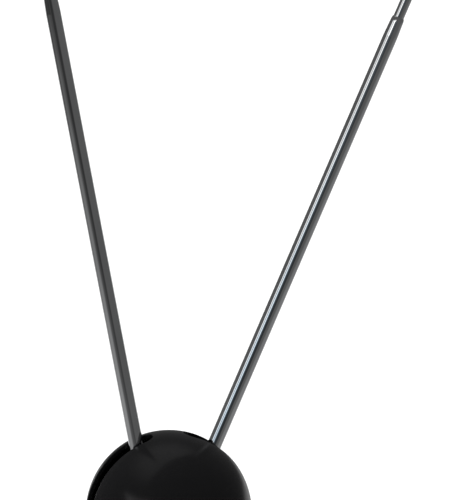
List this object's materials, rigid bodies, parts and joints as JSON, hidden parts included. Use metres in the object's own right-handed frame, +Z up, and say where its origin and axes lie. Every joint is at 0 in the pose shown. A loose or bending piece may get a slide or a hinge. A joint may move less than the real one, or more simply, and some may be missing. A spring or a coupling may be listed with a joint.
{
  "type": "rabbit ears antenna",
  "caption": "Set-top dipole antenna: slotted black ball on a weighted round foot, with two telescopic chrome rods that swing and extend.",
  "frame": {"origin": "centre of the round base pad's lower face, on the table", "axes": "+Z up along the ball and foot's axis; both rods swing in the XZ plane, the left rod towards -X; the lead leaves towards +Y at the back"},
  "size_m": [0.3081, 0.1246, 0.5398],
  "materials": {
    "dome_plastic": "satin gloss moulded black plastic",
    "base_plastic": "satin gloss moulded black plastic",
    "grommet_rubber": "soft matt black rubber",
    "plate_steel": "zinc-plated pressed steel",
    "ballast_iron": "rough cast iron",
    "pad_rubber": "ribbed foam rubber",
    "carrier_phenolic": "dark brown phenolic moulding",
    "screw_steel": "bright zinc-plated steel",
    "board_laminate": "brown paper laminate",
    "ferrite": "grey sintered ferrite",
    "enamelled_wire": "copper wire with clear enamel",
    "terminal_plastic": "ivory moulded plastic",
    "clevis_steel": "zinc-plated sheet steel",
    "washer_nylon": "natural nylon",
    "spring_steel": "blued spring steel",
    "tag_brass": "tinned brass",
    "wire_jacket": "PVC insulation",
    "knuckle_brass": "nickel-plated turned brass",
    "rod_chrome": "polished chromium plate on drawn brass tube",
    "sleeve_bronze": "phosphor bronze",
    "tip_chrome": "polished chromium plate"
  },
  "bodies": {
    "base": {"dome_cover": "dome_plastic", "pedestal": "base_plastic", "lead_grommet": "grommet_rubber", "bottom_plate": "plate_steel", "ballast_weight": "ballast_iron", "base_pad": "pad_rubber", "carrier": "carrier_phenolic", "carrier_screws": "screw_steel", "dome_screws": "screw_steel", "plate_screws": "screw_steel", "ballast_screws": "screw_steel", "balun_board": "board_laminate", "board_screws": "screw_steel", "balun_core": "ferrite", "balun_winding": "enamelled_wire", "terminal_block": "terminal_plastic", "terminal_screws": "screw_steel", "clevis_screws": "screw_steel", "left_clevis": "clevis_steel", "left_friction_washers": "washer_nylon", "left_pivot_screw": "screw_steel", "left_spring_washer": "spring_steel", "left_pivot_nut": "screw_steel", "left_solder_tag": "tag_brass", "left_lead_wire": "wire_jacket", "right_clevis": "clevis_steel", "right_friction_washers": "washer_nylon", "right_pivot_screw": "screw_steel", "right_spring_washer": "spring_steel", "right_pivot_nut": "screw_steel", "right_solder_tag": "tag_brass", "right_lead_wire": "wire_jacket"},
    "left_arm": {"left_knuckle": "knuckle_brass", "left_tube_1": "rod_chrome"},
    "left_section_2": {"left_tube_2": "rod_chrome", "left_sleeve_2": "sleeve_bronze"},
    "left_section_3": {"left_tube_3": "rod_chrome", "left_sleeve_3": "sleeve_bronze"},
    "left_section_4": {"left_tube_4": "rod_chrome", "left_sleeve_4": "sleeve_bronze", "left_tip": "tip_chrome"},
    "right_arm": {"right_knuckle": "knuckle_brass", "right_tube_1": "rod_chrome"},
    "right_section_2": {"right_tube_2": "rod_chrome", "right_sleeve_2": "sleeve_bronze"},
    "right_section_3": {"right_tube_3": "rod_chrome", "right_sleeve_3": "sleeve_bronze"},
    "right_section_4": {"right_tube_4": "rod_chrome", "right_sleeve_4": "sleeve_bronze", "right_tip": "tip_chrome"}
  },
  "joints": [
    {"name": "left_swing", "type": "hinge", "parent": "base", "child": "left_arm", "pos_m": [-0.01075, 0, 0.0706], "axis": [0, -1, 0], "range_deg": [-6.85, 79.65]},
    {"name": "left_slide_2", "type": "slide", "parent": "left_arm", "child": "left_section_2", "axis": [-0.1797, 0, 0.9837], "range_m": [-0.1, 0.13]},
    {"name": "left_slide_3", "type": "slide", "parent": "left_section_2", "child": "left_section_3", "axis": [-0.1797, 0, 0.9837], "range_m": [-0.06, 0.173]},
    {"name": "left_slide_4", "type": "slide", "parent": "left_section_3", "child": "left_section_4", "axis": [-0.1797, 0, 0.9837], "range_m": [-0.035, 0.201]},
    {"name": "right_swing", "type": "hinge", "parent": "base", "child": "right_arm", "pos_m": [0.01075, 0, 0.0706], "axis": [0, 1, 0], "range_deg": [-20.83, 65.67]},
    {"name": "right_slide_2", "type": "slide", "parent": "right_arm", "child": "right_section_2", "axis": [0.412, 0, 0.9112], "range_m": [-0.1, 0.13]},
    {"name": "right_slide_3", "type": "slide", "parent": "right_section_2", "child": "right_section_3", "axis": [0.412, 0, 0.9112], "range_m": [-0.06, 0.173]},
    {"name": "right_slide_4", "type": "slide", "parent": "right_section_3", "child": "right_section_4", "axis": [0.412, 0, 0.9112], "range_m": [-0.035, 0.201]}
  ]
}
